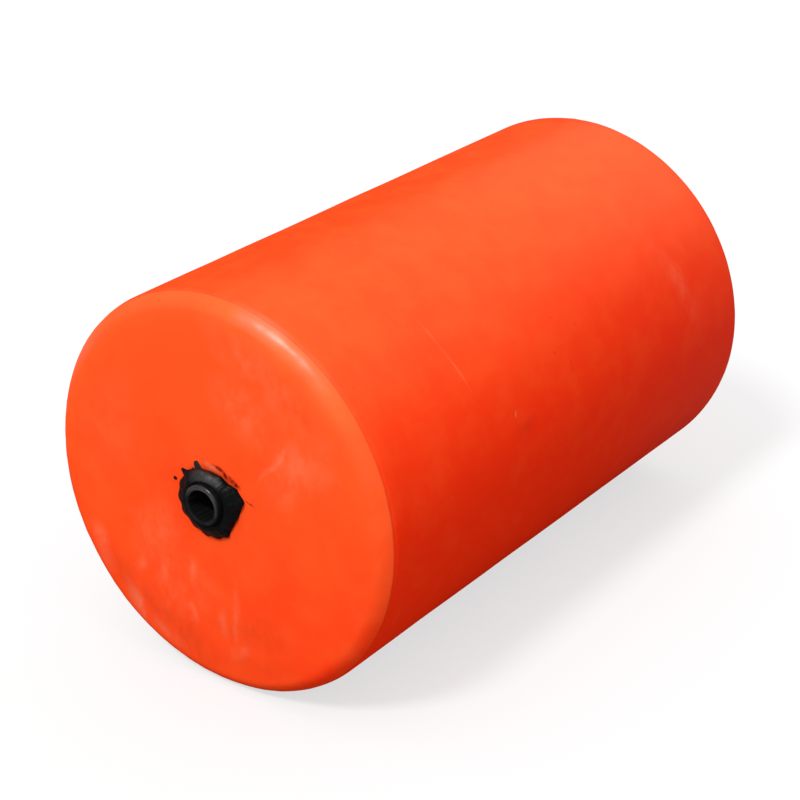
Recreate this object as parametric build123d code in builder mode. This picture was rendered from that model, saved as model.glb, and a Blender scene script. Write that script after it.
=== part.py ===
"""Cylindrical float for ropes, nets and booms: a moulded skin on a through pipe that is welded in.

The float lies on its side. +X runs along the pipe, +Z is up, and the origin is on the
ground under the middle of the barrel. All sizes are in millimetres.
"""

import os
from math import atan2, cos, degrees, radians, sin, tan

from build123d import *

# Moulded skin
barrel_radius = 300.0
body_length = 986.0  # between the flat seats of the two welds
seat_radius = 62.0
crown_drop = 7.5  # how far an end falls away from the weld's seat to the barrel's edge
shoulder_radius = 22.0
skin_thickness = 7.0
inner_corner_chamfer = 10.0  # fills the cavity's corners, so that the shoulders keep their wall

# Parting ridge that the mould leaves on each shoulder
ridge_turn = 62.0  # how far round the shoulder the ridge starts, in degrees
ridge_width = 3.6
ridge_height = 0.7

# Through pipe
pipe_radius = 31.5
pipe_wall = 8.6
pipe_stub = 24.0  # from the weld's seat to the pipe's rim
rim_round = 5.0
bore_chamfer = 1.0
pipe_hole_clearance = 0.3

# Hand-laid weld collar round the pipe
collar_width = 24.5  # from the pipe out to a middling stroke's end
collar_height = 16.0
crest_width = 2.5  # narrowest bead that stands round the pipe at the collar's top
toe_height = 3.0  # thickness of the collar's outer edge
toe_share = 0.97  # size of the toe's upper edge beside the foot
bulge_share = 0.03  # how much larger than straight the flank is at half its height
far_collar_turn = 130.0  # the far weld has its strokes at other angles

# Strokes of the weld, seen from outside: angle from the right-hand side in degrees,
# share of the collar's reach at which the stroke ends
strokes = [
    (14.0, 1.04),
    (34.0, 1.07),
    (50.0, 0.95),
    (66.0, 0.87),
    (92.0, 0.86),
    (116.0, 0.93),
    (144.0, 1.00),
    (168.0, 0.96),
    (190.0, 0.99),
    (212.0, 0.96),
    (236.0, 0.98),
    (260.0, 1.04),
    (282.0, 1.01),
    (300.0, 0.97),
    (322.0, 0.85),
    (349.0, 0.88),
]

# Places that follow from the sizes above
axis_height = barrel_radius
seat_face = body_length / 2
crown_angle = atan2(crown_drop, barrel_radius - seat_radius)
shoulder_middle = barrel_radius - shoulder_radius
shoulder_fall = (shoulder_middle - seat_radius) * tan(crown_angle)
barrel_end = seat_face - shoulder_fall - shoulder_radius / cos(crown_angle)
shoulder_start = (
    barrel_end + shoulder_radius * cos(crown_angle),
    shoulder_middle + shoulder_radius * sin(crown_angle),
)
cavity_radius = barrel_radius - skin_thickness
cavity_length = 2 * (seat_face - crown_drop - skin_thickness)
pipe_length = 2 * (seat_face + pipe_stub)
collar_reach = pipe_radius + collar_width
crest_share = (pipe_radius + crest_width) / (collar_reach * min(share for _, share in strokes))

float_axis = Axis((0, 0, axis_height), (1, 0, 0))
section_plane = Plane((0, 0, axis_height), x_dir=(1, 0, 0), z_dir=(0, -1, 0))

# Each end's name, the way it faces along X and the turn of its weld
ends = [
    ("near", -1, 0.0),
    ("far", 1, far_collar_turn),
]

# Rings of a collar from its foot to its crest: height above its seat, size beside the foot
collar_rings = [
    (0.0, 1.0),
    (toe_height, toe_share),
    ((toe_height + collar_height) / 2, (toe_share + crest_share) / 2 + bulge_share),
    (collar_height, crest_share),
]


def end_plane(way, distance):
    """Plane across the pipe that looks out of one end, with its own Y axis up."""
    return Plane((way * distance, 0, axis_height), x_dir=(0, way, 0), z_dir=(way, 0, 0))


def stroke_ends(size, turn):
    """Corners of one ring of a collar, one for each stroke."""
    for angle, share in strokes:
        reach = collar_reach * share * size
        heading = radians(angle + turn)
        yield (reach * cos(heading), reach * sin(heading))


os.makedirs("parts", exist_ok=True)

# Moulded skin: crowned ends, shoulders with the parting ridge, the cavity and the pipe's holes
with BuildPart() as float_shell:
    with BuildSketch(section_plane):
        with BuildLine():
            Polyline((0, 0), (seat_face, 0), (seat_face, seat_radius), shoulder_start)
            shoulder = JernArc(
                shoulder_start,
                tangent=(-sin(crown_angle), cos(crown_angle)),
                radius=shoulder_radius,
                arc_size=ridge_turn - degrees(crown_angle),
            )
            ridge_start = shoulder @ 1
            ridge_run = shoulder % 1
            ridge_out = Vector(ridge_run.Y, -ridge_run.X)
            ridge_top = ridge_start + ridge_run * ridge_width / 2 + ridge_out * ridge_height
            ridge_stop = ridge_start + ridge_run * ridge_width
            Polyline(ridge_start, ridge_top, ridge_stop, (barrel_end, barrel_radius), (0, barrel_radius))
            mirror(about=Plane.YZ)
        make_face()
    revolve(axis=float_axis)
    with BuildSketch(section_plane):
        with Locations((0, cavity_radius / 2)):
            Rectangle(cavity_length, cavity_radius)
        chamfer(vertices().group_by(Axis.Y)[-1], length=inner_corner_chamfer)
    revolve(axis=float_axis, mode=Mode.SUBTRACT)
    with BuildSketch(end_plane(-1, seat_face)):
        Circle(pipe_radius + pipe_hole_clearance)
    extrude(amount=-body_length, mode=Mode.SUBTRACT)
float_shell.part.label = "float_shell"
export_step(float_shell.part, "parts/float_shell.step")

# Through pipe, with its sawn rims rounded over and its bore deburred
with BuildPart() as through_pipe:
    with BuildSketch(section_plane):
        with Locations((0, pipe_radius - pipe_wall / 2)):
            Rectangle(pipe_length, pipe_wall)
        fillet(vertices().group_by(Axis.Y)[-1], radius=rim_round)
        chamfer(vertices().group_by(Axis.Y)[0], length=bore_chamfer)
    revolve(axis=float_axis)
through_pipe.part.label = "through_pipe"
export_step(through_pipe.part, "parts/through_pipe.step")

# Weld collars, trowelled in strokes from the flat seat up to the pipe
for end_name, way, turn in ends:
    with BuildPart() as weld_collar:
        for height, size in collar_rings:
            with BuildSketch(end_plane(way, seat_face + height)):
                with BuildLine():
                    Polyline(*stroke_ends(size, turn), close=True)
                make_face()
        loft(ruled=True)
        with BuildSketch(end_plane(way, seat_face)):
            Circle(pipe_radius)
        extrude(amount=collar_height, mode=Mode.SUBTRACT)
    weld_collar.part.label = f"weld_collar_{end_name}"
    export_step(weld_collar.part, f"parts/weld_collar_{end_name}.step")
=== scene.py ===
"""Models and finishes a cylindrical float: moulded skin, through pipe and hand-laid welds.

Sizes are in metres, in the frame of the solids: +X along the pipe, +Z up, and the origin
on the ground under the middle of the barrel.
"""

import random
from math import cos, pi, radians, sin

import bmesh
import bpy
from bpy.props import FloatProperty, FloatVectorProperty, IntProperty, PointerProperty
from mathutils import Matrix, Vector


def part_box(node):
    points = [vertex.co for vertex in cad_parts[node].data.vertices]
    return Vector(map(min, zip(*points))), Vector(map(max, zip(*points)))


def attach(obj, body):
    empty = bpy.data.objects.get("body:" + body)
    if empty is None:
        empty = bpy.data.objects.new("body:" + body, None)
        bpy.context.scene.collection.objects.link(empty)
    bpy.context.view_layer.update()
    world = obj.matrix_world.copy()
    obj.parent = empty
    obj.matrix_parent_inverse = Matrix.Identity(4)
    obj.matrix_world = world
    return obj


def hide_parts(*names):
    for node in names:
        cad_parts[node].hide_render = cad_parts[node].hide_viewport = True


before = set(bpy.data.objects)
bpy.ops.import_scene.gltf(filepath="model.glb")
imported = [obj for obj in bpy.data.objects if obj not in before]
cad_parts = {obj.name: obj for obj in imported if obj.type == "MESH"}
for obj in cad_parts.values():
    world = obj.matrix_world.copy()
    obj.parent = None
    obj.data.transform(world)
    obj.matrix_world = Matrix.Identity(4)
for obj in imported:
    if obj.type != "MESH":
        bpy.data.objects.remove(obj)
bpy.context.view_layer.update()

bl_info = {
    "name": "Through-pipe float",
    "version": (1, 0, 0),
    "blender": (4, 5, 0),
    "location": "3D View > Sidebar > Float",
    "description": "Models and finishes a moulded cylindrical float on a welded-in pipe",
    "category": "Add Mesh",
}

MM = 0.001
NEAR = 0.1 * MM  # closer than this counts as the same place
WHITE = (1, 1, 1, 1)

# Places that come from the solids
SKIN_LOW, SKIN_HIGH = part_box("float_shell")
PIPE_LOW, PIPE_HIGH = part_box("through_pipe")
AXIS_HEIGHT = (PIPE_LOW.z + PIPE_HIGH.z) / 2
AXIS_POINT = Vector((0, 0, AXIS_HEIGHT))
END_FACE = SKIN_HIGH.x
PIPE_END = PIPE_HIGH.x
PIPE_RADIUS = (PIPE_HIGH.z - PIPE_LOW.z) / 2
BARREL_RADIUS = (SKIN_HIGH.y - SKIN_LOW.y) / 2

FAR_TURN = 130.0  # the far weld and the marks round it are turned by this many degrees
MARK_DEPTH = 0.05  # how deep a mark on an end goes, so that it stays on that end

# Each end's name, the way it faces along X and the turn of its weld in degrees
ENDS = (
    ("near", -1, 0.0),
    ("far", 1, FAR_TURN),
)

# Strokes of a weld: heading in degrees from the right-hand side, share of the collar's reach
STROKES = (
    (14, 1.10), (34, 1.00), (50, 0.83), (66, 0.83), (92, 0.81), (116, 0.88),
    (144, 1.00), (168, 1.05), (190, 1.12), (212, 1.11), (236, 1.07), (260, 1.06),
    (282, 1.02), (300, 1.02), (322, 0.87), (349, 0.90),
)

# Tongues of weld pressed out over the skin: heading in degrees, then in mm the reach of the tip,
# the length, and the width at the root and at the tip
TONGUES = (
    (149.0, 63, 20, 15, 4),
    (118.5, 59, 19, 13.5, 7),
    (133.0, 52, 12, 14, 8),
)

# Drops of weld on the skin: distance right of and above the pipe's axis, radius, in mm
DROPS = ((-66.6, 13.9, 2.6),)

# Films of weld wiped over the skin: distance right of and above the axis, half length and
# half width, in mm, heading in degrees, strength
FILMS = (
    (-13, 58, 9, 3.4, -20, 0.40),
    (5, 56, 9, 3.2, -22, 0.45),
    (15, 53, 14, 5.4, -22, 0.85),
    (26, 45, 12, 5.4, -56, 0.95),
    (41, 39, 19, 7.0, -32, 1.00),
    (69, 15, 15, 2.4, -21, 0.70),
)

# Place on a weld that a hot trowel has left glossy: as for the films
GLAZED = ((-5, 35, 35, 23, -22, 1.40),)

# Pale scuffs on the ends: as for the films
END_SCUFFS = (
    (2, 50, 22, 7.0, -18, 0.60),
    (113, 90, 60, 7.0, 52, 0.46),
    (137, 68, 44, 6.0, 41, 0.38),
    (150, 92, 90, 46, 52, 0.32),
    (60, 150, 80, 50, -30, 0.28),
    (70, 224, 90, 34, -22, 0.26),
    (124, 190, 74, 46, -40, 0.24),
    (176, 120, 80, 40, -62, 0.22),
    (-95, -140, 34, 14, 82, 0.42),
    (-136, -146, 28, 16, 60, 0.34),
    (-39, -124, 34, 13, 76, 0.36),
    (-84, -185, 30, 14, 70, 0.42),
    (-45, -189, 30, 13, 105, 0.42),
    (12, -186, 40, 10, -79, 0.30),
    (38, -171, 70, 9, -91, 0.30),
    (48, -222, 36, 18, 40, 0.30),
    (-80, -170, 110, 60, 30, 0.20),
    (-150, -217, 52, 20, -56, 0.58),
    (-213, -145, 50, 20, -72, 0.50),
    (-100, -240, 60, 16, -28, 0.34),
    (-190, 60, 110, 60, 70, 0.12),
    (-106, -84, 80, 56, 60, 0.22),
)

# Painted shade on the ends: patches painted deeper orange where shade falls: as for the films
END_SHADE = (
    (92, 203, 36, 13, 13, 0.18),
    (122, 188, 30, 12, -50, 0.20),
    (146, 176, 34, 12, -12, 0.20),
    (168, 164, 38, 12, -25, 0.16),
    (230, -90, 120, 90, 62, 0.20),
    (170, -180, 110, 56, 40, 0.20),
    (196, -216, 150, 30, 42, 0.60),
    (268, -136, 110, 30, 63, 0.60),
    (20, 40, 110, 80, 20, 0.20),
    (120, -120, 130, 76, 60, 0.18),
    (-60, 0, 70, 110, 0, 0.24),
    (-95, 75, 80, 60, 0, 0.16),
)

# Stretches of shoulder that handling has rubbed pale, painted lighter still where light falls on
# them, and stretches that are polished: as for the films
BURNISHED_AND_LIT = (
    (36, 278, 70, 40, -8, 0.60),
    (125, 262, 110, 70, -27, 1.00),
    (190, 218, 104, 74, -42, 0.74),
    (-190, -215, 120, 60, -45, 0.60),
)
POLISHED = (
    (90, 276, 64, 50, -19, 1.70),
    (158, 247, 78, 48, -34, 0.62),
    (-235, 165, 60, 50, 55, 0.50),
)

# Darker patches low on the ends, near their lower edge: as for the films
END_DULL = (
    (-75, -228, 130, 44, -26, 0.32),
    (60, -240, 110, 36, 12, 0.16),
    (-172, -188, 90, 40, -48, 0.26),
    (-118, -212, 70, 36, -38, 0.32),
    (60, -192, 110, 44, 8, 0.20),
)

# Scuffs and soiled nicks on the barrel: distance along it in mm, degrees up from the side that
# faces -Y, half length and half width in mm, heading in degrees from +X to the top, strength
BARREL_SCUFFS = (
    (-255, 38, 64, 3.0, 101, 0.34),
    (-262, 48, 24, 3.0, 96, 0.30),
    (-170, 17, 7, 3.0, 60, 0.55),
    (318, 25, 95, 26, 108, 0.26),
    (120, 150, 90, 5.0, 84, 0.30),
    (-210, 205, 70, 4.0, 97, 0.30),
    (260, 118, 60, 20, 100, 0.22),
)
BARREL_NICKS = (
    (-43, 26, 5, 2.6, 40, 0.75),
    (-18, 35, 4, 2.2, 0, 0.60),
    (28, 30, 9, 2.2, 60, 0.55),
    (-12, 20, 34, 2.4, 92, 0.42),
    (-150, 12, 46, 24, 10, 0.36),
    (-174, 17, 5, 2.0, 60, 0.70),
    (90, 170, 6, 2.6, 30, 0.70),
    (-320, 140, 30, 2.2, 92, 0.45),
    (210, 215, 40, 20, 8, 0.34),
)


def on_end(way, right, up):
    """Point on an end's flat seat: right of and above the axis, as seen from outside."""
    return Vector((way * END_FACE, way * right, AXIS_HEIGHT + up))


class SkinSettings(bpy.types.PropertyGroup):
    """Sizes and colours of the moulded skin."""

    seat: FloatProperty(
        name="Seat radius",
        description="Flat middle of each end, which the weld sits on",
        default=0.062,
        unit="LENGTH",
    )
    crown: FloatProperty(
        name="Crown",
        description="How far each end bulges out of its shoulder",
        default=0.0068,
        unit="LENGTH",
    )
    shoulder: FloatProperty(
        name="Shoulder radius",
        description="Round between the barrel and each end",
        default=0.022,
        unit="LENGTH",
    )
    ridge_setback: FloatProperty(
        name="Ridge setback",
        description="Distance of the mould's parting ridge behind the start of the shoulder",
        default=0.0118,
        unit="LENGTH",
    )
    ridge_height: FloatProperty(
        name="Ridge height",
        description="How far the parting ridge stands out of the shoulder",
        default=0.0007,
        unit="LENGTH",
    )
    ridge_width: FloatProperty(
        name="Ridge width",
        description="Width of the parting ridge",
        default=0.0034,
        unit="LENGTH",
    )
    waviness: FloatProperty(
        name="Waviness",
        description="Depth of the slow waves that cooling leaves in the skin",
        default=0.0012,
        unit="LENGTH",
    )
    dents: FloatProperty(
        name="Shoulder dents",
        description="Depth of the knocks along the shoulders",
        default=0.0011,
        unit="LENGTH",
    )
    segments: IntProperty(
        name="Segments",
        description="Faces round the barrel",
        default=360,
        min=24,
    )
    # Also painted shade: the barrel's lower side, away from the lamp, takes this colour
    fresh_and_shaded: FloatVectorProperty(
        name="Fresh orange",
        description="Colour of the skin where the sun has not faded it",
        default=(0.96, 0.030, 0.0045),
        subtype="COLOR",
        min=0,
        max=1,
    )
    # Also painted light: the barrel's lit upper side and the upper part of the ends take this
    # colour
    faded: FloatVectorProperty(
        name="Faded orange",
        description="Colour of the skin on its upper side",
        default=(1.0, 0.092, 0.017),
        subtype="COLOR",
        min=0,
        max=1,
    )
    # Also a painted sheen: the pale haze on the barrel's top takes this colour
    scuffed_and_haze: FloatVectorProperty(
        name="Scuffed orange",
        description="Colour of rubbed skin",
        default=(1.0, 0.27, 0.14),
        subtype="COLOR",
        min=0,
        max=1,
    )
    # Also painted light: the shoulders are painted in this colour only on their lit upper side
    burnished_and_lit: FloatVectorProperty(
        name="Burnished orange",
        description="Colour of the shoulders, which handling has rubbed smooth",
        default=(1.0, 0.145, 0.036),
        subtype="COLOR",
        min=0,
        max=1,
    )
    # Also painted shade: under the barrel, along the ends' lower edge and toward the far end
    grime_and_shade: FloatVectorProperty(
        name="Grime",
        description="Colour of the skin low down, where the ground has soiled it",
        default=(0.26, 0.010, 0.006),
        subtype="COLOR",
        min=0,
        max=1,
    )


class PipeSettings(bpy.types.PropertyGroup):
    """Sizes and colour of the through pipe."""

    wall: FloatProperty(
        name="Wall",
        description="Thickness of the pipe's wall",
        default=0.0086,
        unit="LENGTH",
    )
    rim_round: FloatProperty(
        name="Rim round",
        description="Round on the outer edge of the pipe's rim",
        default=0.0050,
        unit="LENGTH",
    )
    bore_round: FloatProperty(
        name="Bore round",
        description="Round on the inner edge of the pipe's rim",
        default=0.0033,
        unit="LENGTH",
    )
    colour: FloatVectorProperty(
        name="Pipe black",
        description="Colour of the extruded pipe",
        default=(0.0055, 0.0055, 0.0060),
        subtype="COLOR",
        min=0,
        max=1,
    )


class WeldSettings(bpy.types.PropertyGroup):
    """Sizes and colours of the hand-laid welds."""

    reach: FloatProperty(
        name="Reach",
        description="Distance from the axis to a middling stroke's end",
        default=0.056,
        unit="LENGTH",
    )
    height: FloatProperty(
        name="Height",
        description="Height of the collar on its seat",
        default=0.016,
        unit="LENGTH",
    )
    grain: FloatProperty(
        name="Grain",
        description="Size of the smallest lump that the weld is modelled with",
        default=0.0011,
        unit="LENGTH",
    )
    colour: FloatVectorProperty(
        name="Weld black",
        description="Colour of the weld",
        default=(0.0030, 0.0034, 0.0034),
        subtype="COLOR",
        min=0,
        max=1,
    )
    stain: FloatVectorProperty(
        name="Weld film",
        description="Colour of the skin under a thin film of weld",
        default=(0.16, 0.004, 0.003),
        subtype="COLOR",
        min=0,
        max=1,
    )


class StageSettings(bpy.types.PropertyGroup):
    """Camera, lamps and floor."""

    camera_offset: FloatVectorProperty(
        name="Camera offset",
        description="Camera's place from the middle of the float",
        default=(-2.4571, -1.7473, 1.3956),
        subtype="TRANSLATION",
        unit="LENGTH",
    )
    azimuth: FloatProperty(
        name="Azimuth",
        description="Turn of the view about the vertical, from looking along +Y",
        default=radians(-53.66),
        subtype="ANGLE",
    )
    elevation: FloatProperty(
        name="Elevation",
        description="How far the camera looks down",
        default=radians(21.36),
        subtype="ANGLE",
    )
    lens: FloatProperty(
        name="Lens",
        description="Focal length in millimetres",
        default=96.07,
        min=1,
    )
    shift: FloatVectorProperty(
        name="Shift",
        description="How far off the middle of the view the picture is cut, in shares of its width",
        size=2,
        default=(0.0144, -0.1887),
    )
    key_strength: FloatProperty(
        name="Key lamp",
        description="Strength of the main lamp",
        default=2.12,
        min=0,
    )
    key_spread: FloatProperty(
        name="Key spread",
        description="Apparent size of the main lamp",
        default=radians(12),
        subtype="ANGLE",
    )
    sky_low: FloatProperty(
        name="Sky at the horizon",
        description="Strength of the soft light that comes in level",
        default=0.46,
        min=0,
    )
    sky_high: FloatProperty(
        name="Sky overhead",
        description="Strength of the soft light that comes straight down",
        default=1.15,
        min=0,
    )
    gloss_share: FloatProperty(
        name="White in the gloss",
        description="How much of the white background the float's gloss shows",
        default=0.03,
        subtype="FACTOR",
        min=0,
        max=1,
    )
    floor_bounce: FloatProperty(
        name="Floor bounce",
        description="Share of light that the floor throws back on the float",
        default=0.34,
        subtype="FACTOR",
        min=0,
        max=1,
    )


def clear_selection():
    """Deselects every object."""
    if bpy.context.mode != "OBJECT":
        bpy.ops.object.mode_set(mode="OBJECT")
    bpy.ops.object.select_all(action="DESELECT")


def focus(piece):
    """Makes one piece the only selected and the active one."""
    clear_selection()
    piece.select_set(True)
    bpy.context.view_layer.objects.active = piece


def settle():
    """Puts the active piece's place, turn and size into its mesh."""
    bpy.ops.object.transform_apply(location=True, rotation=True, scale=True)


def edit(piece):
    """Opens one piece in edit mode with nothing selected."""
    focus(piece)
    bpy.ops.object.mode_set(mode="EDIT")
    bpy.ops.mesh.select_all(action="DESELECT")


def pick(piece, kind, test):
    """In edit mode, selects only the vertices, edges or faces that pass a test."""
    bpy.ops.mesh.select_mode(type=kind)
    bpy.ops.mesh.select_all(action="DESELECT")
    mesh = bmesh.from_edit_mesh(piece.data)
    elements = {"VERT": mesh.verts, "EDGE": mesh.edges, "FACE": mesh.faces}[kind]
    for element in elements:
        if test(element):
            element.select_set(True)
    mesh.select_flush_mode()
    bmesh.update_edit_mesh(piece.data)


def leave():
    """Closes edit mode."""
    bpy.ops.object.mode_set(mode="OBJECT")


def off_axis(point):
    """Distance of a point from the pipe's axis."""
    return Vector((point.y, point.z - AXIS_HEIGHT)).length


def group(piece, name, weigh):
    """Gives the piece a vertex group whose weights come from each vertex's place."""
    made = piece.vertex_groups.new(name=name)
    for vertex in piece.data.vertices:
        weight = weigh(vertex.co)
        if weight > 0:
            made.add([vertex.index], min(1.0, weight), "REPLACE")
    return name


def keep(piece, kind, **values):
    """Adds a modifier with its settings to the active piece, and keeps its result."""
    bpy.ops.object.modifier_add(type=kind)
    modifier = piece.modifiers[-1]
    for name, value in values.items():
        setattr(modifier, name, value)
    bpy.ops.object.modifier_apply(modifier=modifier.name)


def press(piece, name, grain, depth, middle=0.5, levels=1, where=""):
    """Pushes the surface in and out by clouds of one grain, and keeps the result."""
    clouds = bpy.data.textures.new(name, "CLOUDS")
    clouds.noise_scale = grain
    clouds.noise_depth = levels
    focus(piece)
    keep(
        piece,
        "DISPLACE",
        texture=clouds,
        texture_coords="LOCAL",
        strength=depth,
        mid_level=middle,
        vertex_group=where,
    )


def hand_over(piece, finish, slot, *nodes):
    """Gives a finished piece its finish and its body, and hides the solids that it stands for. The
    slot is not used.
    """
    piece.data.materials.clear()
    piece.data.materials.append(finish)
    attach(piece, "root")
    if nodes:
        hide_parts(*nodes)


class Nodes:
    """A tree of nodes, with short calls to add and join them."""

    def __init__(self, tree):
        self.tree = tree

    def add(self, kind, **values):
        """A node of one kind, with its settings."""
        node = self.tree.nodes.new(kind)
        for name, value in values.items():
            setattr(node, name, value)
        return node

    def feed(self, socket, value):
        """Joins a node's output to a socket, or sets the socket to a number, vector or colour."""
        if isinstance(value, bpy.types.NodeSocket):
            self.tree.links.new(value, socket)
        else:
            socket.default_value = value

    def join(self, kind, *values, **settings):
        """All outputs of a new node, with values joined or set to its inputs in their order."""
        node = self.add(kind, **settings)
        for socket, value in zip(node.inputs, values):
            self.feed(socket, value)
        return node.outputs

    def split(self, place):
        """The three coordinates of a place."""
        return self.join("ShaderNodeSeparateXYZ", place)[:]

    def vector(self, *parts):
        """A place made of three coordinates."""
        return self.join("ShaderNodeCombineXYZ", *parts)[0]

    def step(self, operation, first, second=0.0, clamp=False):
        """One step of arithmetic."""
        return self.join("ShaderNodeMath", first, second, operation=operation, use_clamp=clamp)[0]

    def times(self, product, *factors):
        """The product of several values."""
        for factor in factors:
            product = self.step("MULTIPLY", product, factor)
        return product

    def most(self, greatest, *others):
        """The greatest of several values."""
        for other in others:
            greatest = self.step("MAXIMUM", greatest, other)
        return greatest

    def ramp(self, value, low, high, to_low=0.0, to_high=1.0, kind="SMOOTHSTEP"):
        """A smooth or straight step between two numbers as a value goes from low to high."""
        numbers = (value, low, high, to_low, to_high)
        return self.join("ShaderNodeMapRange", *numbers, interpolation_type=kind, clamp=True)[0]


class Finish(Nodes):
    """A material's nodes, with the coordinates and the marks that its looks are made of."""

    def __init__(self, name):
        self.material = bpy.data.materials.new(name)
        self.material.use_nodes = True
        super().__init__(self.material.node_tree)
        self.shader = self.tree.nodes["Principled BSDF"]
        self.place = self.add("ShaderNodeTexCoord").outputs["Object"]
        self.x, self.y, above_ground = self.split(self.place)
        self.along = self.step("ABSOLUTE", self.x)
        self.height = self.step("SUBTRACT", above_ground, AXIS_HEIGHT)
        across = self.vector(0.0, self.y, self.height)
        self.radius = self.join("ShaderNodeVectorMath", across, operation="LENGTH")["Value"]

    def wear(self, values):
        """Joins or sets inputs of the shader."""
        for name, value in values.items():
            self.feed(self.shader.inputs[name], value)

    def noise(self, place, scale, detail, roughness=0.5, distortion=0.0):
        """Outputs of a noise with the given features per metre."""
        node = self.add("ShaderNodeTexNoise")
        self.feed(node.inputs["Vector"], place)
        node.inputs["Scale"].default_value = scale
        node.inputs["Detail"].default_value = detail
        node.inputs["Roughness"].default_value = roughness
        node.inputs["Distortion"].default_value = distortion
        return node.outputs

    def clouds(self, scale, detail, roughness, stretch=None):
        """Noise on the piece, which can be stretched along the axes."""
        place = self.place
        if stretch is not None:
            mapping = self.add("ShaderNodeMapping")
            self.feed(mapping.inputs["Vector"], place)
            mapping.inputs["Scale"].default_value = stretch
            place = mapping.outputs[0]
        return self.noise(place, scale, detail, roughness)["Fac"]

    def mix(self, share, first, second):
        """A share of the second colour over the first."""
        node = self.add("ShaderNodeMix", data_type="RGBA")
        for index, value in ((0, share), (6, first), (7, second)):
            if not isinstance(value, bpy.types.NodeSocket) and index > 0:
                value = (*value, 1.0)
            self.feed(node.inputs[index], value)
        return node.outputs[2]

    def stirred(self, scale, reach):
        """The piece's coordinates, pushed about so that marks laid on them have uneven edges."""
        colour = self.noise(self.place, scale, detail=3.0)["Color"]
        centre = (0.5, 0.5, 0.5)
        push = self.join("ShaderNodeVectorMath", colour, centre, operation="SUBTRACT")[0]
        reaches = (0, reach, reach)
        pushed = (push, reaches, self.place)
        return self.join("ShaderNodeVectorMath", *pushed, operation="MULTIPLY_ADD")[0]

    def turned_far_end(self, place):
        """Coordinates on which a mark laid on the near end also falls on the far end, turned."""
        x, _, _ = self.split(place)
        turned = self.add("ShaderNodeVectorRotate", rotation_type="X_AXIS")
        self.feed(turned.inputs["Vector"], place)
        turned.inputs["Center"].default_value = AXIS_POINT
        at_far_end = self.step("GREATER_THAN", x, 0.0)
        self.feed(turned.inputs["Angle"], self.times(at_far_end, radians(FAR_TURN)))
        x, y, z = self.split(turned.outputs[0])
        return self.vector(self.times(self.step("ABSOLUTE", x), -1.0), y, z)

    def marks(self, place, table, lay):
        """Soft-edged marks, the strongest one at each place."""
        strongest = 0.0
        for *spot, heading, strength in table:
            mapping = self.add("ShaderNodeMapping", vector_type="TEXTURE")
            self.feed(mapping.inputs["Vector"], place)
            laid = lay(*spot, radians(heading))
            for name, value in zip(("Location", "Rotation", "Scale"), laid):
                mapping.inputs[name].default_value = value
            spot_place = mapping.outputs[0]
            ball = self.join("ShaderNodeTexGradient", spot_place, gradient_type="SPHERICAL")
            strongest = self.most(strongest, self.times(ball["Fac"], strength))
        return strongest

    def bump(self, height, distance, strength):
        """Fine relief that is too small to model."""
        node = self.add("ShaderNodeBump")
        node.inputs["Distance"].default_value = distance
        node.inputs["Strength"].default_value = strength
        self.feed(node.inputs["Height"], height)
        self.wear({"Normal": node.outputs[0]})


def paler(colour, factor):
    """A colour with each channel made stronger by one factor."""
    return [min(1.0, channel * factor) for channel in colour]


def lay_on_end(right, up, half_length, half_width, heading):
    """Place, turn and size of a mark on the near end."""
    spot = on_end(-1, right * MM, up * MM)
    return spot, (-heading, 0, 0), (MARK_DEPTH, half_length * MM, half_width * MM)


def lay_on_barrel(along, angle, half_length, half_width, heading):
    """Place, turn and size of a mark on the barrel, rolled out flat."""
    spot = (along * MM, radians(angle) * BARREL_RADIUS, 0)
    return spot, (0, 0, heading), (half_length * MM, half_width * MM, 1)


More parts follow.
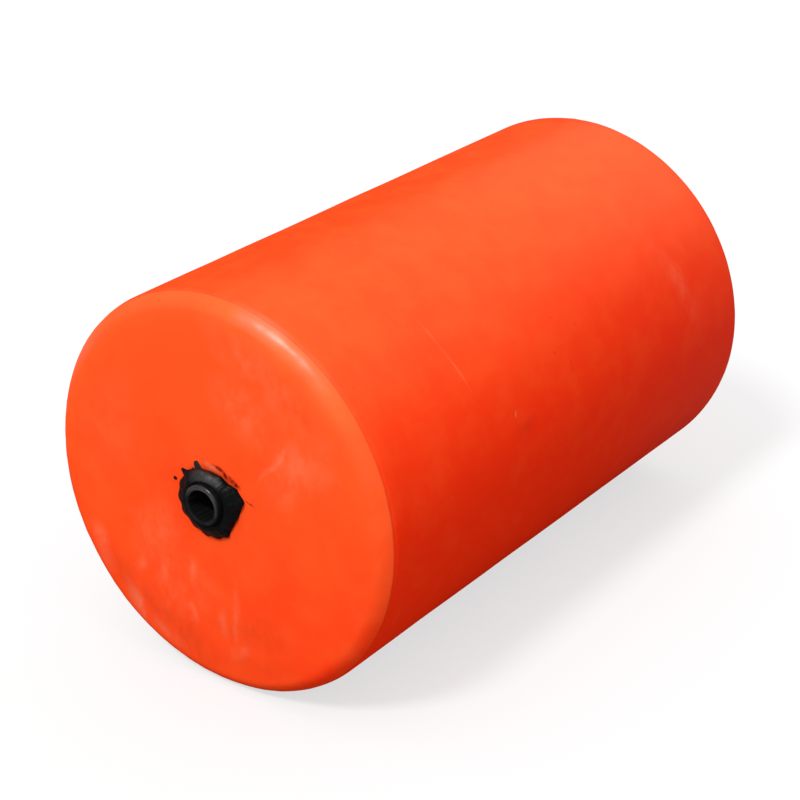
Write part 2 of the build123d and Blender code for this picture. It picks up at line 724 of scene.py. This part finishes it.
def skin_finish(skin, weld):
    """Orange moulded skin: faded and painted lighter on its lit top, rubbed smooth on its shoulders
    and painted lighter on their upper side, with scuffs, soiled nicks, a painted sheen on top and
    painted shade low down.
    """
    finish = Finish("orange_moulded_skin")
    x, y, height, radius = finish.x, finish.y, finish.height, finish.radius
    step, times, most = finish.step, finish.times, finish.most
    ramp, marks, mix = finish.ramp, finish.marks, finish.mix

    # Coordinates for the marks: the barrel rolled out flat, and the ends with their edges stirred
    turn = step("FLOORED_MODULO", step("ARCTAN2", height, times(y, -1.0)), 2 * pi)
    unrolled = finish.vector(x, times(turn, BARREL_RADIUS), 0.0)
    loose = finish.turned_far_end(finish.stirred(26.0, 0.022))
    close = finish.turned_far_end(finish.stirred(110.0, 0.005))

    # Parts of the skin: a shoulder's corner, an end out to its ridge, the barrel, the upper side,
    # where the lamp lights it
    barrel_end = END_FACE - skin.crown - skin.shoulder
    past_barrel = step("DIVIDE", step("SUBTRACT", finish.along, barrel_end), skin.shoulder)
    end_edge = BARREL_RADIUS - skin.shoulder
    past_end = step("DIVIDE", step("SUBTRACT", radius, end_edge), skin.shoulder)
    corner = ramp(step("ADD", past_barrel, past_end), 0.98, 1.24)
    ridge = END_FACE - skin.crown - skin.ridge_setback - skin.ridge_width / 2
    end_side = ramp(finish.along, ridge - MM, ridge + MM)
    barrel_side = step("SUBTRACT", 1.0, end_side)
    upper = ramp(height, -0.04, 0.16)

    # Unevenness of the moulding, from coarse to fine
    mottle = finish.clouds(4.0, 2.0, 0.5)
    patches = finish.clouds(21.0, 3.0, 0.6)
    streaks = finish.clouds(62.0, 3.0, 0.62, stretch=(1, 1.0, 0.6))
    grain = finish.clouds(150.0, 2.0, 0.6)

    # Fading and painted light: the barrel's upper side on the side of the lamp, and the ends, paler
    # toward their top, are painted in the paler orange where light falls on them
    lit_side = ramp(step("ADD", height, times(mottle, 0.16)), 0.037, 0.471)
    lit_side = times(lit_side, ramp(y, -0.10, 0.04, 1.0, 0.66))
    end_fade_and_light = ramp(height, -0.30, 0.24, 0.66, 1.06)
    fade_and_light = step("ADD", times(barrel_side, lit_side), times(end_side, end_fade_and_light))
    fade_and_light = step("ADD", fade_and_light, ramp(patches, 0.35, 0.7, -0.10, 0.10), clamp=True)
    # Painted shade: patches on the ends painted back toward the deeper orange
    fade_and_light = step("SUBTRACT", fade_and_light, marks(loose, END_SHADE, lay_on_end), clamp=True)
    colour = mix(fade_and_light, skin.fresh_and_shaded, skin.faded)
    # Painted sheen: a pale haze over the barrel's top on the side toward -Y, stronger toward the
    # far end
    painted_haze = times(ramp(x, -0.5, 0.5, 0.05, 0.11), barrel_side, ramp(height, 0.12, 0.24))
    painted_haze = times(painted_haze, ramp(y, -0.04, 0.04, 1.0, 0.20))
    colour = mix(painted_haze, colour, skin.scuffed_and_haze)

    # Rubbing and painted light: the band on the shoulders, rubbed smooth and painted lighter on
    # their lit upper side, then the scuffs
    band = ramp(step("ADD", radius, times(patches, 0.02)), 0.245, 0.300)
    rubbed = step("ADD", 0.18, marks(loose, BURNISHED_AND_LIT, lay_on_end), clamp=True)
    colour = mix(times(band, end_side, upper, rubbed), colour, skin.burnished_and_lit)
    broken = times(ramp(streaks, 0.30, 0.66, 0.20, 1.0), ramp(patches, 0.28, 0.6, 0.45, 1.0))
    scuffs = most(
        marks(loose, END_SCUFFS, lay_on_end),
        marks(unrolled, BARREL_SCUFFS, lay_on_barrel),
    )
    pale = times(scuffs, broken)
    colour = mix(pale, colour, skin.scuffed_and_haze)

    # Soil and painted shade: painted shade under the barrel, along the ends' lower edge and darker
    # toward the far end; soil in the nicks; darker patches low on the ends
    # Painted shade under the barrel, near the ground
    under = times(ramp(height, -0.250, -0.212, 0.75, 0.0), barrel_side)
    # Painted shade along the lower edge of the ends, mostly on the side toward +Y
    edge = times(ramp(radius, 0.2940, 0.2975), ramp(height, -0.15, -0.04, 0.7, 0.0))
    edge = times(edge, end_side, ramp(y, -0.15, 0.05, 0.0, 1.0))
    nicks = times(marks(unrolled, BARREL_NICKS, lay_on_barrel), 0.6)
    dull = times(marks(loose, END_DULL, lay_on_end), ramp(streaks, 0.3, 0.7, 0.4, 1.0))
    # Painted shade: the barrel's side darker toward the far end
    far = times(ramp(x, -0.5, 0.5, 0.0, 0.15), ramp(height, 0.14, 0.27, 1.0, 0.0), barrel_side)
    colour = mix(most(under, edge, nicks, dull, far), colour, skin.grime_and_shade)
    films = ramp(marks(close, FILMS, lay_on_end), 0.05, 0.75)
    films = times(films, ramp(grain, 0.35, 0.60, 0.45, 1.0))
    colour = mix(films, colour, weld.stain)

    # Sheen: only on the polished shoulders, with a haze on the far half of the barrel
    polish = step("ADD", marks(loose, POLISHED, lay_on_end), ramp(patches, 0.3, 0.7, 0.06, 0.20))
    polish = step("MULTIPLY", times(polish, corner), upper, clamp=True)
    hazy = times(ramp(x, -0.1, 0.5, 0.01, 0.12), barrel_side, ramp(y, -0.04, 0.06, 1.0, 0.30))
    finish.wear({
        "Base Color": colour,
        "Roughness": step("ADD", ramp(patches, 0.3, 0.7, 0.36, 0.42), times(pale, 0.25)),
        "Specular IOR Level": 0.0,
        "Coat Weight": most(polish, hazy),
        "Coat Roughness": 0.36,
    })
    finish.bump(step("ADD", grain, times(pale, streaks)), 0.0004, 0.30)
    return finish.material


def pipe_finish(pipe):
    """Black extruded pipe: drawn lengthwise, with greyer sawn rims painted paler on their lit upper
    side, and a glint on their round.
    """
    finish = Finish("black_extruded_pipe")
    ramp, times = finish.ramp, finish.times
    drawn = finish.clouds(1.0, 4.0, 0.6, stretch=(6, 420, 420))
    worn = finish.clouds(60.0, 4.0, 0.6)

    sawn = ramp(finish.along, PIPE_END - 3.0 * MM, PIPE_END - 0.4 * MM)
    inner = ramp(finish.radius, PIPE_RADIUS - 3.5 * MM, PIPE_RADIUS - 1.0 * MM, 1.0, 0.0)
    # Painted light: the sawn rims are paler on their upper side, where the lamp lights them
    raised = finish.step("SUBTRACT", finish.height, times(finish.y, 0.6))
    upper = ramp(raised, -0.012, 0.034, 0.30, 1.0)
    share = times(sawn, inner, upper, ramp(worn, 0.3, 0.7, 0.4, 1.0))
    share = finish.most(share, ramp(drawn, 0.5, 0.8, 0.0, 0.35))

    rounded = ramp(finish.along, PIPE_END - 3.6 * MM, PIPE_END - 1.6 * MM)
    finish.wear({
        "Base Color": finish.mix(share, pipe.colour, paler(pipe.colour, 8.0)),
        "Roughness": ramp(worn, 0.3, 0.7, 0.30, 0.40),
        "Specular IOR Level": 0.0,
        "Coat Weight": times(rounded, ramp(finish.height, 0.004, 0.024)),
        "Coat Roughness": 0.21,
    })
    finish.bump(drawn, 0.0003, 0.2)
    return finish.material


def weld_finish(weld):
    """Black weld: smeared in arcs about the pipe, glazed in one place and dusty in patches."""
    finish = Finish("black_hand_laid_weld")
    ramp, times = finish.ramp, finish.times
    heading = finish.step("ARCTAN2", finish.height, finish.y)
    arcs = finish.vector(times(finish.radius, 700.0), times(heading, 2.2), times(finish.x, 260.0))
    smear = finish.noise(arcs, 1.0, 4.0, 0.62, distortion=0.4)["Fac"]
    lumps = finish.clouds(150.0, 4.0, 0.6)
    dusty = times(ramp(smear, 0.45, 0.75), ramp(lumps, 0.35, 0.7))
    glazed = finish.marks(finish.turned_far_end(finish.place), GLAZED, lay_on_end)
    finish.wear({
        "Base Color": finish.mix(dusty, weld.colour, paler(weld.colour, 3.2)),
        "Roughness": ramp(lumps, 0.3, 0.7, 0.36, 0.48),
        "Specular IOR Level": 0.02,
        "Coat Weight": finish.step("ADD", glazed, 0.06, clamp=True),
        "Coat Roughness": 0.38,
    })
    finish.bump(finish.step("ADD", smear, times(lumps, 0.4)), 0.0006, 0.5)
    return finish.material


class FLOAT_OT_mould_skin(bpy.types.Operator):
    """Model the moulded skin, with its shoulders, parting ridges, waves and knocks"""

    bl_idname = "float_buoy.mould_skin"
    bl_label = "Mould the skin"
    bl_options = {"REGISTER", "UNDO"}

    # Rings on each end, as distances in mm from the ring before; what is left goes to the pipe
    end_rings = (4, 8, 12, 18, 24, 28, 30, 30, 28, 22, 16)
    ridge_cuts = (-0.3, 0.0, 0.5, 1.0, 1.3)  # as shares of the ridge's width
    shoulder_steps = 12
    shoulder_profile = 0.46  # a true round has 0.5
    barrel_cuts = 46
    crown_power = 10  # the higher, the flatter the middle of an end
    corner_reach = 0.414  # how far the round stands out of its chord, in shoulder radii
    wave_grain = 160 * MM
    wave_middle = 0.85  # the higher, the more of the waves goes inwards
    knock_grain = 18 * MM
    knock_middle = 0.80

    def execute(self, context):
        skin = context.scene.float_skin
        clear_selection()
        bpy.ops.mesh.primitive_cylinder_add(
            vertices=skin.segments,
            radius=BARREL_RADIUS,
            depth=2 * (END_FACE - skin.crown),
            end_fill_type="NGON",
            location=AXIS_POINT,
            rotation=(0, pi / 2, 0),
        )
        piece = context.object
        piece.name = "moulded_skin"
        settle()
        edit(piece)
        self.round_shoulders(piece, skin)
        self.cut_rings(piece, skin)
        self.raise_ridges(piece, skin)
        bpy.ops.mesh.select_all(action="SELECT")
        bpy.ops.mesh.normals_make_consistent(inside=False)
        leave()
        self.crown_ends(piece, skin)
        self.weather(piece, skin)
        bpy.ops.object.shade_smooth()
        hand_over(piece, skin_finish(skin, context.scene.float_weld), "orange_skin", "float_shell")
        return {"FINISHED"}

    def round_shoulders(self, piece, skin):
        """Rounds the edge between the barrel and each end."""
        pick(piece, "EDGE", lambda edge: abs(edge.verts[0].co.x - edge.verts[1].co.x) < MM)
        bpy.ops.mesh.bevel(
            offset=skin.shoulder,
            segments=self.shoulder_steps,
            profile=self.shoulder_profile,
            affect="EDGES",
        )

    def cut_rings(self, piece, skin):
        """Cuts rings round the barrel, the shoulders and the ends, and opens the pipe's hole."""
        pick(piece, "EDGE", lambda edge: abs(edge.verts[0].co.x - edge.verts[1].co.x) > END_FACE)
        bpy.ops.mesh.subdivide(number_cuts=self.barrel_cuts)
        ridge = END_FACE - skin.crown - skin.ridge_setback
        for way in (-1, 1):
            for step in self.ridge_cuts:
                bpy.ops.mesh.select_all(action="SELECT")
                place = way * (ridge - step * skin.ridge_width)
                bpy.ops.mesh.bisect(plane_co=(place, 0, 0), plane_no=(1, 0, 0))
        pick(piece, "FACE", lambda face: len(face.verts) > 8)
        for width in self.end_rings:
            bpy.ops.mesh.inset(thickness=width * MM)
        left = BARREL_RADIUS - skin.shoulder - sum(self.end_rings) * MM - PIPE_RADIUS
        bpy.ops.mesh.inset(thickness=left)
        bpy.ops.mesh.bridge_edge_loops()

    def raise_ridges(self, piece, skin):
        """Lifts the middle of each parting ridge."""
        crest = END_FACE - skin.crown - skin.ridge_setback - skin.ridge_width / 2
        pick(piece, "VERT", lambda vertex: abs(abs(vertex.co.x) - crest) < NEAR)
        lift = 1 + skin.ridge_height / BARREL_RADIUS
        bpy.ops.transform.resize(value=(1, lift, lift), center_override=AXIS_POINT)

    def crown_ends(self, piece, skin):
        """Bulges each end out of its shoulder, with a flat seat for the weld."""
        for name, way, _ in ENDS:

            def bulge(point):
                out = way * point.x
                off = off_axis(point)
                on_this_end = out > END_FACE - skin.crown - skin.shoulder
                outside_hole = out > END_FACE - skin.crown - MM or off > skin.seat
                fall = min(1.0, off / BARREL_RADIUS) ** self.crown_power
                return 1 - fall if on_this_end and outside_hole else 0.0

            crowned = group(piece, f"crown_{name}", bulge)
            focus(piece)
            keep(
                piece,
                "DISPLACE",
                direction="X",
                mid_level=0,
                strength=way * skin.crown,
                vertex_group=crowned,
            )

    def weather(self, piece, skin):
        """Adds the slow waves of the cooled skin and the knocks along its shoulders."""

        def on_outside(point):
            return 1.0 if off_axis(point) > skin.seat else 0.0

        def on_shoulder(point):
            past_barrel = (abs(point.x) - END_FACE + skin.crown + skin.shoulder) / skin.shoulder
            past_end = (off_axis(point) - BARREL_RADIUS + skin.shoulder) / skin.shoulder
            return max(0.0, past_barrel + past_end - 1.0) / self.corner_reach

        outside = group(piece, "outside", on_outside)
        press(piece, "slow_waves", self.wave_grain, skin.waviness, self.wave_middle, 1, outside)
        shoulder = group(piece, "shoulder", on_shoulder)
        press(piece, "knocks", self.knock_grain, skin.dents, self.knock_middle, 2, shoulder)
        piece.vertex_groups.clear()


class FLOAT_OT_draw_pipe(bpy.types.Operator):
    """Model the through pipe, with its bore and its rounded rims"""

    bl_idname = "float_buoy.draw_pipe"
    bl_label = "Draw the pipe"
    bl_options = {"REGISTER", "UNDO"}

    facets = 112
    rim_steps = 8
    bore_steps = 5
    saw_grain = 14 * MM
    saw_depth = 0.5 * MM
    smooth_below = radians(40)

    def execute(self, context):
        pipe = context.scene.float_pipe
        clear_selection()
        bpy.ops.mesh.primitive_cylinder_add(
            vertices=self.facets,
            radius=PIPE_RADIUS,
            depth=2 * PIPE_END,
            end_fill_type="NGON",
            location=AXIS_POINT,
            rotation=(0, pi / 2, 0),
        )
        piece = context.object
        piece.name = "drawn_pipe"
        settle()
        edit(piece)
        pick(piece, "FACE", lambda face: len(face.verts) > 8)
        bpy.ops.mesh.inset(thickness=pipe.wall)
        bpy.ops.mesh.bridge_edge_loops()
        for radius, rounding, steps in (
            (PIPE_RADIUS, pipe.rim_round, self.rim_steps),
            (PIPE_RADIUS - pipe.wall, pipe.bore_round, self.bore_steps),
        ):
            self.round_rim(piece, radius, rounding, steps)
        bpy.ops.mesh.select_all(action="SELECT")
        bpy.ops.mesh.normals_make_consistent(inside=False)
        leave()
        press(piece, "hand_sawn", self.saw_grain, self.saw_depth, middle=1.0)
        bpy.ops.object.shade_smooth_by_angle(angle=self.smooth_below)
        hand_over(piece, pipe_finish(pipe), "black_pipe", "through_pipe")
        return {"FINISHED"}

    def round_rim(self, piece, radius, rounding, steps):
        """Rounds one edge of both rims."""

        def on_rim(edge):
            first, second = (vertex.co for vertex in edge.verts)
            at_end = min(abs(first.x), abs(second.x)) > PIPE_END - NEAR
            off = max(abs(off_axis(first) - radius), abs(off_axis(second) - radius))
            return at_end and off < 3 * NEAR

        pick(piece, "EDGE", on_rim)
        bpy.ops.mesh.bevel(offset=rounding, segments=steps, profile=0.5, affect="EDGES")


class FLOAT_OT_lay_welds(bpy.types.Operator):
    """Model both weld collars out of trowelled strokes"""

    bl_idname = "float_buoy.lay_welds"
    bl_label = "Lay the welds"
    bl_options = {"REGISTER", "UNDO"}

    sunk = 1.5 * MM
    crest_reach = 35.0 * MM
    rise_share = 0.78  # how much of the collar's height a stroke climbs
    corner_spread = radians(2)
    melt_rounds = 30
    lump_grain, lump_depth = 18 * MM, 1.2 * MM
    curd_grain, curd_depth = 6 * MM, 0.3 * MM

    def execute(self, context):
        weld = context.scene.float_weld
        finish = weld_finish(weld)
        hand = random.Random(11)
        for name, way, turn in ENDS:
            piece = self.start(f"weld_collar_{name}", way, turn, weld.reach)
            for heading, share in STROKES:
                self.stroke(weld, way, radians(heading + turn), share, hand)
                piece.select_set(True)
                context.view_layer.objects.active = piece
                bpy.ops.object.join()
            self.knead(piece, weld)
            bpy.ops.object.shade_smooth()
            hand_over(piece, finish, "black_weld", f"weld_collar_{name}")
        return {"FINISHED"}

    def start(self, node, way, turn, reach):
        """A merged copy of the solid collar, drawn to its strokes, its foot sunk in the skin."""
        piece = bpy.data.objects.new(f"{node}_laid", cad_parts[node].data.copy())
        bpy.context.scene.collection.objects.link(piece)
        edit(piece)
        bpy.ops.mesh.select_all(action="SELECT")
        bpy.ops.mesh.remove_doubles(threshold=0.1 * NEAR)
        for heading, share in STROKES:
            self.draw_in(piece, way, radians(heading + turn), reach * share)
        pick(piece, "VERT", lambda vertex: abs(vertex.co.x) < END_FACE + NEAR)
        bpy.ops.transform.translate(value=(-way * self.sunk, 0, 0))
        leave()
        return piece

    def draw_in(self, piece, way, heading, reach):
        """Moves the collar's corner at one heading to the end of its stroke."""
        outward = Vector((0, way * cos(heading), sin(heading)))

        def on_corner(vertex):
            arm = vertex.co - AXIS_POINT
            arm.x = 0
            clear_of_pipe = arm.length > PIPE_RADIUS + 5 * MM
            return clear_of_pipe and arm.normalized().dot(outward) > cos(self.corner_spread)

        pick(piece, "VERT", on_corner)
        chosen = [vertex.co for vertex in bmesh.from_edit_mesh(piece.data).verts if vertex.select]
        size = reach / max(off_axis(point) for point in chosen)
        bpy.ops.transform.resize(value=(1, size, size), center_override=AXIS_POINT)

    def stroke(self, weld, way, heading, share, hand):
        """One trowelled lump, from the toe of the collar up its flank to the crest."""
        outward = Vector((0, way * cos(heading), sin(heading)))
        out_of_end = Vector((way, 0, 0))
        toe = weld.reach * share
        rise = self.rise_share * weld.height
        run = toe - self.crest_reach
        flank = (out_of_end * rise - outward * run).normalized()
        tangent = out_of_end.cross(outward)
        normal = tangent.cross(flank)
        turn = Matrix((flank, normal.cross(flank), normal)).transposed()
        middle = AXIS_POINT + out_of_end * (END_FACE + weld.height / 2) + outward * (toe - run / 2)
        sizes = (
            0.52 * Vector((rise, run)).length * hand.uniform(0.92, 1.10),
            hand.uniform(8.0, 12.0) * MM,
            hand.uniform(1.6, 2.8) * MM,
        )
        clear_selection()
        bpy.ops.mesh.primitive_uv_sphere_add(
            segments=28,
            ring_count=14,
            radius=1,
            location=middle,
            rotation=turn.to_euler(),
            scale=sizes,
        )
        settle()

    def knead(self, piece, weld):
        """Melts the strokes together and works their surface."""
        focus(piece)
        keep(piece, "REMESH", mode="VOXEL", voxel_size=weld.grain)
        keep(piece, "SMOOTH", factor=0.5, iterations=self.melt_rounds)
        press(piece, "lumps", self.lump_grain, self.lump_depth)
        press(piece, "curds", self.curd_grain, self.curd_depth)


class FLOAT_OT_drop_spatter(bpy.types.Operator):
    """Model the tongues of weld pressed out over the skin and the drops beside them"""

    bl_idname = "float_buoy.drop_spatter"
    bl_label = "Drop the spatter"
    bl_options = {"REGISTER", "UNDO"}

    tongue_thickness = 2.6 * MM
    drop_shape = (0.7, 1.15, 1.0)
    ragged_grain, ragged_depth = 6 * MM, 0.8 * MM

    def execute(self, context):
        finish = bpy.data.materials["black_hand_laid_weld"]
        for name, way, turn in ENDS:
            made = []
            for heading, *sizes in TONGUES:
                made.append(self.tongue(way, radians(heading + turn), *sizes))
            for right, up, radius in DROPS:
                place = Vector((right, up)) * MM
                place.rotate(Matrix.Rotation(radians(turn), 2))
                made.append(self.drop(way, place, radius * MM))
            clear_selection()
            for piece in made:
                piece.select_set(True)
            context.view_layer.objects.active = made[0]
            bpy.ops.object.join()
            piece = context.object
            piece.name = f"weld_spatter_{name}"
            press(piece, "ragged", self.ragged_grain, self.ragged_depth)
            bpy.ops.object.shade_smooth()
            hand_over(piece, finish, "black_weld")
        return {"FINISHED"}

    def tongue(self, way, heading, tip, length, width, tip_width):
        """A flat tapering tongue that lies on the end with its root under the collar."""
        outward = Vector((0, way * cos(heading), sin(heading)))
        out_of_end = Vector((way, 0, 0))
        turn = Matrix((outward.cross(out_of_end), -out_of_end, outward)).transposed()
        clear_selection()
        bpy.ops.mesh.primitive_cone_add(
            vertices=16,
            radius1=width * MM / 2,
            radius2=tip_width * MM / 2,
            depth=length * MM,
            location=AXIS_POINT + out_of_end * END_FACE + outward * (tip - length / 2) * MM,
            rotation=turn.to_euler(),
            scale=(1, self.tongue_thickness / (width * MM), 1),
        )
        settle()
        piece = bpy.context.object
        edit(piece)
        bpy.ops.mesh.select_all(action="SELECT")
        bpy.ops.mesh.subdivide(number_cuts=3, smoothness=0.4)
        leave()
        return piece

    def drop(self, way, place, radius):
        """A small drop that lies on the end."""
        clear_selection()
        bpy.ops.mesh.primitive_uv_sphere_add(
            segments=20,
            ring_count=10,
            radius=radius,
            location=on_end(way, place.x, place.y),
            scale=self.drop_shape,
        )
        settle()
        return bpy.context.object


class FLOAT_OT_set_stage(bpy.types.Operator):
    """Set the floor, the lamps, the sky and the camera"""

    bl_idname = "float_buoy.set_stage"
    bl_label = "Set the stage"
    bl_options = {"REGISTER", "UNDO"}

    key_from = Vector((-0.62, 0.0, 0.785))
    key_distance = 4.0
    floor_size = 60.0
    floor_glow = 0.66  # light of its own that the floor shows to the camera
    floor_lit = 0.26  # share of the lamps' light that the floor shows to the camera
    sensor_width = 36.0

    def execute(self, context):
        stage = context.scene.float_stage
        context.scene.view_settings.view_transform = "Standard"
        self.floor(stage)
        self.sky(context.scene, stage)
        self.key(stage)
        self.camera(context.scene, stage)
        return {"FINISHED"}

    def seen(self, nodes, stage):
        """How white a ray sees the background: straight, through clear stuff, or in the gloss."""
        path = nodes.add("ShaderNodeLightPath").outputs
        gloss = nodes.times(path["Is Glossy Ray"], stage.gloss_share)
        return nodes.most(gloss, path["Is Camera Ray"], path["Is Transmission Ray"])

    def floor(self, stage):
        """A wide plain floor that looks white and keeps the float's shadow."""
        clear_selection()
        bpy.ops.mesh.primitive_plane_add(size=self.floor_size, location=(0, 0, 0))
        floor = bpy.context.object
        floor.name = "floor"
        material = bpy.data.materials.new("pale_floor")
        material.use_nodes = True
        nodes = Nodes(material.node_tree)
        nodes.tree.nodes.clear()
        bounce = nodes.join("ShaderNodeBsdfDiffuse", (*[stage.floor_bounce] * 3, 1))[0]
        lit = nodes.join("ShaderNodeBsdfDiffuse", (*[self.floor_lit] * 3, 1))[0]
        glow = nodes.join("ShaderNodeEmission", WHITE, self.floor_glow)[0]
        pale = nodes.join("ShaderNodeAddShader", lit, glow)[0]
        choose = nodes.join("ShaderNodeMixShader", self.seen(nodes, stage), bounce, pale)[0]
        nodes.join("ShaderNodeOutputMaterial", choose)
        floor.data.materials.append(material)

    def sky(self, scene, stage):
        """Soft light from all round, stronger overhead, and seen as white."""
        world = bpy.data.worlds.new("pale_sky")
        scene.world = world
        world.use_nodes = True
        nodes = Nodes(world.node_tree)
        nodes.tree.nodes.clear()
        _, _, up = nodes.split(nodes.add("ShaderNodeTexCoord").outputs["Generated"])
        rise = nodes.ramp(up, 0.0, 1.0, stage.sky_low, stage.sky_high, kind="LINEAR")
        light = nodes.join("ShaderNodeBackground", WHITE, rise)[0]
        white = nodes.join("ShaderNodeBackground", WHITE, 1.0)[0]
        choose = nodes.join("ShaderNodeMixShader", self.seen(nodes, stage), light, white)[0]
        nodes.join("ShaderNodeOutputWorld", choose)

    def key(self, stage):
        """The main lamp, above the near end."""
        clear_selection()
        bpy.ops.object.light_add(
            type="SUN",
            location=AXIS_POINT + self.key_distance * self.key_from,
            rotation=(-self.key_from).to_track_quat("-Z", "Y").to_euler(),
        )
        lamp = bpy.context.object
        lamp.name = "key_lamp"
        lamp.data.energy = stage.key_strength
        lamp.data.angle = stage.key_spread

    def camera(self, scene, stage):
        """The camera at the photograph's place."""
        level = cos(stage.elevation)
        ahead, aside = -cos(stage.azimuth) * level, sin(stage.azimuth) * level
        back = Vector((aside, ahead, sin(stage.elevation)))
        clear_selection()
        bpy.ops.object.camera_add(
            location=AXIS_POINT + Vector(stage.camera_offset),
            rotation=(-back).to_track_quat("-Z", "Y").to_euler(),
        )
        camera = bpy.context.object
        camera.data.lens = stage.lens
        camera.data.sensor_width = self.sensor_width
        camera.data.shift_x, camera.data.shift_y = stage.shift
        scene.camera = camera


class FLOAT_PT_panel(bpy.types.Panel):
    """Lists the steps and sizes of the float"""

    bl_idname = "FLOAT_PT_panel"
    bl_label = "Through-pipe float"
    bl_space_type = "VIEW_3D"
    bl_region_type = "UI"
    bl_category = "Float"

    def draw(self, context):
        for step in STEPS:
            self.layout.operator(step.bl_idname)
        for name, kind in SETTINGS.items():
            box = self.layout.box()
            for key in kind.__annotations__:
                box.prop(getattr(context.scene, name), key)


STEPS = (
    FLOAT_OT_mould_skin,
    FLOAT_OT_draw_pipe,
    FLOAT_OT_lay_welds,
    FLOAT_OT_drop_spatter,
    FLOAT_OT_set_stage,
)
SETTINGS = {
    "float_skin": SkinSettings,
    "float_pipe": PipeSettings,
    "float_weld": WeldSettings,
    "float_stage": StageSettings,
}


def register():
    for name, kind in SETTINGS.items():
        bpy.utils.register_class(kind)
        setattr(bpy.types.Scene, name, PointerProperty(type=kind))
    for kind in (*STEPS, FLOAT_PT_panel):
        bpy.utils.register_class(kind)


def unregister():
    for kind in (FLOAT_PT_panel, *reversed(STEPS)):
        bpy.utils.unregister_class(kind)
    for name, kind in SETTINGS.items():
        delattr(bpy.types.Scene, name)
        bpy.utils.unregister_class(kind)


def main():
    register()
    bpy.ops.float_buoy.mould_skin()
    bpy.ops.float_buoy.draw_pipe()
    bpy.ops.float_buoy.lay_welds()
    bpy.ops.float_buoy.drop_spatter()
    bpy.ops.float_buoy.set_stage()


if __name__ == "__main__":
    main()
